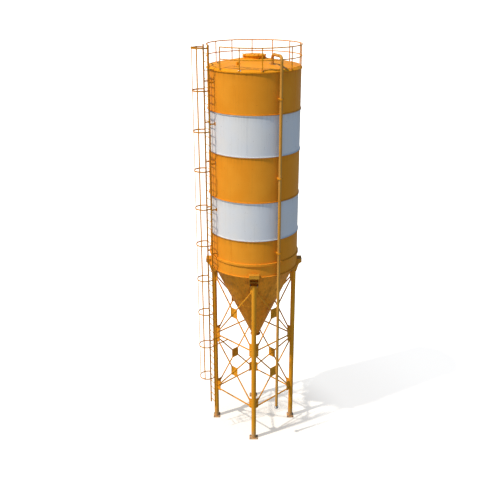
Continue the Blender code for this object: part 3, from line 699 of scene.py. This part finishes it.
def build_bracket_welds(paint):
    """Beads of each bracket along the shell, under its shelf and on the leg's cap."""
    gusset_bead = 0.0042
    half = math.asin(0.200 / SHELL_RADIUS)
    for number, name in enumerate(LEG_NAMES):
        node = f"leg_bracket_{name}"
        low, high = corners(node)
        angle = math.radians(45.0 + 90.0 * number)
        shape = bmesh.new()
        along_shell = [polar(SHELL_RADIUS + 0.003, angle + half * (i / 14 - 1), high.z + 0.001)
                       for i in range(29)]
        sweep(shape, along_shell, ripple(PLATE_BEAD), UP)
        # Runs from a start to an end radius, at a distance from the middle and a height
        under_shelf = (1.800, 1.915, 0.187, high.z - 0.018)
        on_cap = (1.560, 1.720, 0.168, low.z + 0.002)
        for side in (-1, 1):
            for start, end, across, level in (under_shelf, on_cap):
                line_bead(shape, spoke(angle) @ Vector((start, side * across, level)),
                          spoke(angle) @ Vector((end, side * across, level)), gusset_bead, UP)
        place_piece(f"weld_beads_bracket_{name}", shape, paint, BEAD_EDGE)


def build_bracing_details(paint):
    """Bolts where the bars cross their plates, on both faces of each side."""
    reach = (middle("leg_right") - axis).x
    gusset_bolt = reach - LEG_RADIUS - 0.14
    # Half the plate's thickness, the place along the side, and the height of each pair of bolts
    spots = [(0.008, across, level + up) for level in CROSS_PLATE_LEVELS
             for across in (-0.150, 0.150) for up in (-0.180, 0.180)]
    spots += [(0.007, end * gusset_bolt, level) for low, high in GUSSET_LEVELS
              for level in (low + 0.05, high - 0.05) for end in (-1, 1)]
    for number, name in enumerate(SIDE_NAMES):
        turn = moved(*axis) @ Matrix.Rotation(math.radians(90.0 * number), 4, "Z")
        shape = bmesh.new()
        for out, across, level in spots:
            for face in (-1, 1):
                add_bolt(shape, turn @ moved(reach + face * out, across, level)
                         @ Matrix.Rotation(face * math.pi / 2, 4, "Y"), M16)
        place_piece(f"bracing_bolts_{name}", shape, paint, BOLT_EDGE)


def build_ladder_details(paint, zinc):
    """Pads and bolts of the stays, and fishplates where the ladder's sections meet."""
    pad_size = (0.008, 0.090, 0.130)
    fishplate_size = (0.042, 0.006, 0.260)
    for name, low, high in SHELL_LADDER_SECTIONS:
        pads = bmesh.new()
        bolts = bmesh.new()
        for level in STAY_LEVELS:
            if not low < level < high:
                continue
            for side in (-1, 1):
                angle = LADDER_ANGLE + side * math.asin(LADDER_HALF_WIDTH / SHELL_RADIUS)
                pad = spoke(angle, SHELL_RADIUS + 0.001, level)
                add_box(pads, pad_size, pad)
                for up in (-0.045, 0.045):
                    add_bolt(bolts, pad @ moved(0.004, 0, up) @ FACE_OUT, M12)
        place_piece(f"stay_pads_{name}", pads, paint, BOLT_EDGE)
        place_piece(f"stay_bolts_{name}", bolts, zinc, BOLT_EDGE)
    for number, (name, joint, _) in enumerate(SHELL_LADDER_SECTIONS, 1):
        plates = bmesh.new()
        bolts = bmesh.new()
        for side in (-1, 1):
            face = (spoke(LADDER_ANGLE, LADDER_RADIUS, joint)
                    @ moved(0.0, side * (LADDER_HALF_WIDTH - 0.018), 0.0))
            add_box(plates, fishplate_size, face)
            for up in (-0.095, -0.040, 0.040, 0.095):
                add_bolt(bolts, face @ moved(0, -side * 0.003, up)
                         @ Matrix.Rotation(side * math.pi / 2, 4, "X"), M10)
        place_piece(f"ladder_fishplates_{number}", plates, paint, BOLT_EDGE)
        place_piece(f"ladder_splice_bolts_{number}", bolts, zinc, BOLT_EDGE)


def build_cage_bolts(zinc):
    """One bolt through each strap where it crosses a hoop."""
    centre = spoke(LADDER_ANGLE, LADDER_RADIUS) @ moved(CAGE_OFFSET, 0, 0)
    for name, low, high in CAGE_SECTIONS:
        shape = bmesh.new()
        for step in range(HOOP_COUNT):
            level = HOOP_TOP - step * HOOP_PITCH
            if not low < level < high:
                continue
            for angle in STRAP_ANGLES:
                add_bolt(shape, centre @ Matrix.Rotation(math.radians(angle), 4, "Z")
                         @ moved(CAGE_OUTSIDE, 0, level) @ FACE_OUT, M8)
        place_piece(f"cage_bolts_{name}", shape, zinc, BOLT_EDGE)


def build_rail_feet(paint, zinc):
    """Foot plate on the shoulder, two bolts and a weld bead at each post of the guardrail."""
    slope = math.atan2(SHOULDER_LEVEL - RIM_KNEE, RIM_RADIUS - SHOULDER_RADIUS)
    plate_radius = GUARD_RADIUS - 0.012
    plate_size = (0.086, 0.110, 0.006)
    bead_radius = 0.0205
    bead_steps = 24
    for number, angles in enumerate(POST_ANGLES, 1):
        plates = bmesh.new()
        bolts = bmesh.new()
        for angle in angles:
            foot = (spoke(math.radians(angle), plate_radius, roof_level(plate_radius))
                    @ Matrix.Rotation(slope, 4, "Y") @ moved(0, 0, 0.002))
            add_box(plates, plate_size, foot)
            for across in (-0.038, 0.038):
                add_bolt(bolts, foot @ moved(-0.018, across, 0.003), M10)
            post = polar(GUARD_RADIUS, math.radians(angle))
            bead = []
            for i in range(bead_steps):
                turn = math.tau * i / bead_steps
                spot = post + bead_radius * Vector((math.cos(turn), math.sin(turn), 0.0))
                spot.z = roof_level((spot - axis).length) + 0.0075
                bead.append(spot)
            sweep(plates, bead, ripple(0.0035), UP, 6, True)
        place_piece(f"rail_feet_{number}", plates, paint, 30.0)
        place_piece(f"rail_foot_bolts_{number}", bolts, zinc, BOLT_EDGE)


def build_hatch(paint, rubber):
    """Pressed lid with a rolled edge, its seal, hinge, handle and four swing clamps."""
    base = corners("hatch_lid")[0].z
    shape = bmesh.new()
    turned(shape, (
        (0.0, base + 0.054), (0.250, base + 0.052), (0.285, base + 0.049),
        (0.300, base + 0.042), (0.350, base + 0.041), (0.372, base + 0.046),
        (0.405, base + 0.048), (0.424, base + 0.046), (0.432, base + 0.041),
        (LID_RADIUS, base + 0.033), (LID_RADIUS, base + 0.008), (0.4335, base + 0.003),
        (0.430, base + 0.001), (0.0, base + 0.001)), axis, 96)
    place_piece("hatch_cover", shape, paint, 25.0, "hatch_lid")
    shape = bmesh.new()
    ring_bead(shape, HATCH_RADIUS + 0.003, base - 0.002, 0.0055, steps=120)
    place_piece("hatch_seal", shape, rubber, BEAD_EDGE)
    build_hatch_hinge(paint, base)
    build_hatch_handle(paint, base)
    build_hatch_clamps(paint, base)


def build_hatch_hinge(paint, base):
    """Three knuckles on a pin, two straps bent over the lid's edge, and the collar's lug."""
    shape = bmesh.new()
    hinge = spoke(math.radians(HATCH_HINGE_ANGLE), LID_RADIUS + 0.010, base + 0.020)
    for across in (-0.075, 0.0, 0.075):
        add_disc(shape, hinge @ moved(0, across - 0.020, 0) @ ALONG_Y, 0.014, 0.040, 20)
    add_disc(shape, hinge @ moved(0, -0.108, 0) @ ALONG_Y, 0.007, 0.216, 12)
    for across in (-0.075, 0.075):
        add_box(shape, (0.070, 0.036, 0.008), hinge @ moved(-0.034, across, 0.027))
        add_box(shape, (0.010, 0.036, 0.030), hinge @ moved(-0.004, across, 0.013))
    add_box(shape, (0.030, 0.036, 0.070), hinge @ moved(-0.020, 0.0, -0.045))
    place_piece("hatch_hinge", shape, paint, 30.0)


def build_hatch_handle(paint, base):
    """Bent bar of 16 mm on two round pads, opposite the hinge."""
    shape = bmesh.new()
    half_span = 0.085
    grip = spoke(math.radians(HATCH_HINGE_ANGLE + 180.0), 0.300, base + 0.046)
    half_bar = ((0.0, half_span), (0.038, half_span), (0.052, 0.078), (0.059, 0.064))
    points = [grip @ Vector((0.0, -across, up)) for up, across in half_bar]
    points += [grip @ Vector((0.0, across, up)) for up, across in reversed(half_bar)]
    sweep(shape, points, lambda i: 0.008, grip.to_3x3() @ Vector((1, 0, 0)), 12)
    for across in (-half_span, half_span):
        add_disc(shape, grip @ moved(0, across, -0.003), 0.018, 0.006, 20)
    place_piece("hatch_handle", shape, paint, 50.0)


def build_hatch_clamps(paint, base):
    """Swing bolts in two cheeks each, with a pressure plate and a wing nut."""
    shape = bmesh.new()
    for angle in HATCH_CLAMP_ANGLES:
        clamp = spoke(math.radians(angle), LID_RADIUS + 0.012, base)
        for across in (-0.014, 0.014):
            add_box(shape, (0.040, 0.006, 0.044), clamp @ moved(-0.012, across, -0.045))
        add_disc(shape, clamp @ moved(0, -0.022, -0.050) @ ALONG_Y, 0.006, 0.044, 12)
        add_disc(shape, clamp @ moved(0, 0, -0.060), 0.007, 0.145, 12)
        add_box(shape, (0.034, 0.044, 0.006), clamp @ moved(-0.008, 0, 0.051))
        add_disc(shape, clamp @ moved(0, 0, 0.054), 0.014, 0.016, 16, 0.011)
        for side in (-1, 1):
            wing = clamp @ moved(0, side * 0.022, 0.070)
            add_box(shape, (0.006, 0.026, 0.020),
                    wing @ Matrix.Rotation(side * math.radians(28.0), 4, "X"))
    place_piece("hatch_clamps", shape, paint, 30.0)


def build_vent_cap(paint):
    """Rounded cap with a drip edge on the small fitting of the roof."""
    low, high = corners("roof_vent")
    upright = middle("roof_vent")
    upright.z = 0.0
    top = high.z
    shape = bmesh.new()
    turned(shape, (
        (0.0, top + 0.030), (0.022, top + 0.028), (0.042, top + 0.021), (0.057, top + 0.009),
        (0.062, top - 0.004), (0.062, top - 0.014), (0.058, top - 0.014), (0.056, top - 0.004),
        (0.0, top - 0.002)), upright, 40)
    ring_bead(shape, 0.052, low.z + 0.012, ROOF_BEAD, upright, 40)
    place_piece("vent_cap", shape, paint, 40.0)


def build_round_pipe(paint, upright, down_leg, bottom, crest):
    """Pipe with round sides and smooth bends along the route of the many-sided one."""
    inward = (down_leg - upright).normalized()
    first = upright + inward * PIPE_BEND + UP * (crest - PIPE_BEND)
    second = down_leg - inward * PIPE_BEND + UP * (crest - PIPE_BEND)
    turns = [math.pi / 2 * i / 16 for i in range(17)]
    points = [upright + UP * bottom]
    points += [first + PIPE_BEND * (UP * math.sin(turn) - inward * math.cos(turn))
               for turn in turns]
    points += [second + PIPE_BEND * (UP * math.cos(turn) + inward * math.sin(turn))
               for turn in turns]
    points.append(down_leg + UP * (roof_level((down_leg - axis).length) - 0.004))
    shape = bmesh.new()
    sweep(shape, points, lambda i: PIPE_RADIUS, inward.cross(UP), 40)
    place_piece("round_fill_pipe", shape, paint, 40.0, "fill_pipe")


def build_pipe_details(paint, pipe, zinc, aluminium, rubber):
    """Round pipe, its welds, its collar on the roof, its clamps' ears and its hose coupling."""
    low, high = corners("fill_pipe")
    upright = middle("hose_coupling")
    upright.z = 0.0
    down_leg = axis + Vector((*PIPE_DOWN_LEG, 0.0))
    crest = high.z - PIPE_RADIUS
    build_round_pipe(pipe, upright, down_leg, low.z, crest)
    build_pipe_welds(pipe, upright, down_leg, crest)
    build_roof_collar(pipe, zinc, down_leg)
    build_clamp_ears(paint, upright)
    build_coupling(upright, aluminium, rubber)


def build_pipe_welds(pipe, upright, down_leg, crest):
    """Butt welds between the lengths and bends of the pipe, and the bead on its roof collar."""
    steps = 56
    shape = bmesh.new()
    for level in (crest - PIPE_BEND, *PIPE_WELD_LEVELS):
        ring_bead(shape, PIPE_RADIUS, level, FINE_BEAD, upright, steps)
    ring_bead(shape, PIPE_RADIUS, crest - PIPE_BEND, FINE_BEAD, down_leg, steps)
    inward = (down_leg - upright).normalized()
    across = inward.cross(UP)
    for share in (PIPE_BEND, (down_leg - upright).length - PIPE_BEND):
        centre = upright + inward * share + UP * crest
        points = []
        for i in range(steps):
            turn = math.tau * i / steps
            points.append(centre + (across * math.cos(turn) + UP * math.sin(turn)) * PIPE_RADIUS)
        sweep(shape, points, ripple(FINE_BEAD), inward, 6, True)
    entry = roof_level((down_leg - axis).length)
    ring_bead(shape, PIPE_RADIUS + 0.002, entry + 0.012, PLATE_BEAD, down_leg, steps)
    place_piece("weld_beads_pipe", shape, pipe, BEAD_EDGE)


def build_roof_collar(pipe, zinc, down_leg):
    """Round plate on the roof's slope where the pipe goes in, with six bolts."""
    bolt_count = 6
    plate = bmesh.new()
    bolts = bmesh.new()
    outward = down_leg - axis
    tilt = math.atan2(ROOF_CROWN_LEVEL - SHOULDER_LEVEL, SHOULDER_RADIUS - ROOF_CROWN_RADIUS)
    seat = (moved(down_leg.x, down_leg.y, roof_level(outward.length))
            @ Matrix.Rotation(math.atan2(outward.y, outward.x), 4, "Z")
            @ Matrix.Rotation(tilt, 4, "Y"))
    add_disc(plate, seat @ moved(0, 0, -0.002), 0.125, 0.010, 40)
    for number in range(bolt_count):
        spot = seat @ Matrix.Rotation(math.tau * number / bolt_count, 4, "Z")
        add_bolt(bolts, spot @ moved(0.098, 0, 0.008), M12)
    place_piece("pipe_roof_collar", plate, pipe, 30.0)
    place_piece("pipe_collar_bolts", bolts, zinc, BOLT_EDGE)


def build_clamp_ears(paint, upright):
    """Pair of ears with a bolt and a nut on each side of each pipe clamp."""
    ear_size = (0.008, 0.040, 0.046)
    outward = upright - axis
    angle = math.atan2(outward.y, outward.x)
    for number in (1, 2, 3):
        level = middle(f"pipe_clamp_{number}").z
        shape = bmesh.new()
        for side in (-1, 1):
            ear = spoke(angle, outward.length, level) @ moved(0.0, side * 0.094, 0.0)
            for half in (-1, 1):
                add_box(shape, ear_size, ear @ moved(half * 0.007, 0, 0))
            add_bolt(shape, ear @ moved(0.011, side * 0.004, 0) @ FACE_OUT, M12)
            add_stud(shape, ear @ moved(-0.011, side * 0.004, 0) @ FACE_IN, M12, 0.022)
        place_piece(f"clamp_ears_{number}", shape, paint, BOLT_EDGE)


def build_coupling(upright, aluminium, rubber):
    """Quick hose coupling at the pipe's lower end, closed by its cap with two cam levers."""
    low, high = corners("hose_coupling")
    top = high.z
    bottom = low.z
    shape = bmesh.new()
    turned(shape, (
        (0.030, top), (0.060, top), (0.066, top - 0.004), (0.066, top - 0.018),
        (0.061, top - 0.022), (0.061, top - 0.030), (0.072, top - 0.034),
        (0.075, top - 0.038), (0.075, top - 0.046), (0.072, top - 0.050),
        (0.073, top - 0.054), (0.078, top - 0.058), (0.078, bottom + 0.012),
        (0.075, bottom + 0.004), (0.068, bottom), (0.030, bottom)), upright, 56)
    rib_count = 8
    for number in range(rib_count):
        rib = (moved(upright.x, upright.y, bottom + 0.028)
               @ Matrix.Rotation(math.tau * (number + 0.5) / rib_count, 4, "Z"))
        add_box(shape, (0.010, 0.014, 0.034), rib @ moved(0.077, 0, 0))
    place_piece("hose_coupling_body", shape, aluminium, 30.0, "hose_coupling")
    shape = bmesh.new()
    # Out from the pipe, up along it, and the lever's half thickness there
    lever = ((0.086, 0.004, 0.011), (0.090, 0.020, 0.010), (0.089, 0.045, 0.0075),
             (0.087, 0.075, 0.0065), (0.090, 0.094, 0.0075))
    for side in (0, 1):
        at = (moved(upright.x, upright.y, top - 0.066)
              @ Matrix.Rotation(math.radians(-18.0) + math.pi * side, 4, "Z"))
        for across in (-0.016, 0.016):
            add_box(shape, (0.022, 0.008, 0.026), at @ moved(0.084, across, 0))
        add_disc(shape, at @ moved(0.086, -0.024, 0) @ ALONG_Y, 0.0045, 0.048, 12)
        points = [at @ Vector((out, 0, up)) for out, up, _ in lever]
        sweep(shape, points, lambda i: lever[i][2], at.to_3x3() @ Vector((0, 1, 0)), 12)
    place_piece("coupling_levers", shape, aluminium, 40.0)
    shape = bmesh.new()
    ring_bead(shape, 0.0735, top - 0.052, 0.0030, upright, 56)
    place_piece("coupling_seal", shape, rubber, BEAD_EDGE)


def dress():
    """Give every solid its finish and add the small pieces."""
    random.seed(7)
    levels = [corners(node)[1].z for node in COURSES]
    base_level = corners(COURSES[0])[0].z
    shell_barrel = (axis, SHELL_RADIUS + 0.060)
    finishes = {}
    for number, node in enumerate(COURSES):
        joints = [levels[number], levels[number - 1] if number else base_level]
        if "white" in node:
            finishes[node] = enamel(f"white_enamel_course_{number + 1}", "DEDFE0", "E2E0DC",
                                    "A79E8E", joints, barrel=shell_barrel)
        else:
            finishes[node] = enamel(f"orange_enamel_course_{number + 1}", ORANGE, ORANGE_FADED,
                                    "8A5A16", joints, barrel=shell_barrel)
    roof = enamel("orange_enamel_roof", "F0980E", "F4A21C", "A4702A", dust=0.05)
    hopper = enamel("orange_enamel_hopper", "F09A24", "F2A22E", "7E4E18", stain=0.30, rust=0.13)
    frame_paint = ("E29620", "E8A02C", FRAME_GRIME)
    # On the frame, the faces that point up are tinted brown and darker
    frame_wear = {"dust": 0.45, "rust": 0.12, "splash": 0.55, "dust_colour": UPWARD_FACE_BROWN}
    steel = enamel("orange_enamel_frame", *frame_paint, **frame_wear)
    # Darker copy of the frame's paint: painted shade on the leg brackets
    bracket_painted_shade = enamel("orange_enamel_brackets_painted_shade", "D2922A", "DA9A34", FRAME_GRIME, **frame_wear)
    for name in LEG_NAMES:
        centre = middle(f"leg_{name}")
        finishes[f"leg_{name}"] = enamel(f"orange_enamel_leg_{name}", *frame_paint, **frame_wear,
                                         barrel=(centre, LEG_RADIUS + 0.003))
    thin = enamel("orange_enamel_rails", "DE901A", "E49A28", FRAME_GRIME, rust=0.13)
    pipe = enamel("orange_enamel_pipe", "CE9038", "D49C48", "84684A", stain=0.10, rust=0.13)
    zinc = galvanised_steel()
    aluminium = cast_aluminium()
    rubber = black_rubber()
    by_start = (("shell_course", None), ("roof_cone", roof), ("hatch_", roof), ("roof_vent", roof),
                ("hopper_cone", hopper), ("outlet_flange", hopper), ("leg_bracket", bracket_painted_shade),
                ("leg_", steel), ("side_bracing", steel), ("ladder_", thin), ("cage_", thin),
                ("fill_pipe", pipe), ("hose_coupling", aluminium), ("pipe_clamp", thin),
                ("guardrail_", thin))
    for node, solid in nodes.items():
        for start, finish in by_start:
            if node.startswith(start):
                for spot in solid.material_slots:
                    spot.material = finishes.get(node, finish)
                break
    build_shell_welds(finishes)
    build_roof_welds(roof)
    build_hopper_welds(hopper)
    build_outlet_bolts(zinc)
    build_leg_details(steel, zinc)
    build_bracket_welds(bracket_painted_shade)
    build_bracing_details(steel)
    build_ladder_details(thin, zinc)
    build_cage_bolts(zinc)
    build_rail_feet(thin, zinc)
    build_hatch(roof, rubber)
    build_vent_cap(roof)
    build_pipe_details(thin, pipe, zinc, aluminium, rubber)


build_stage()
dress()
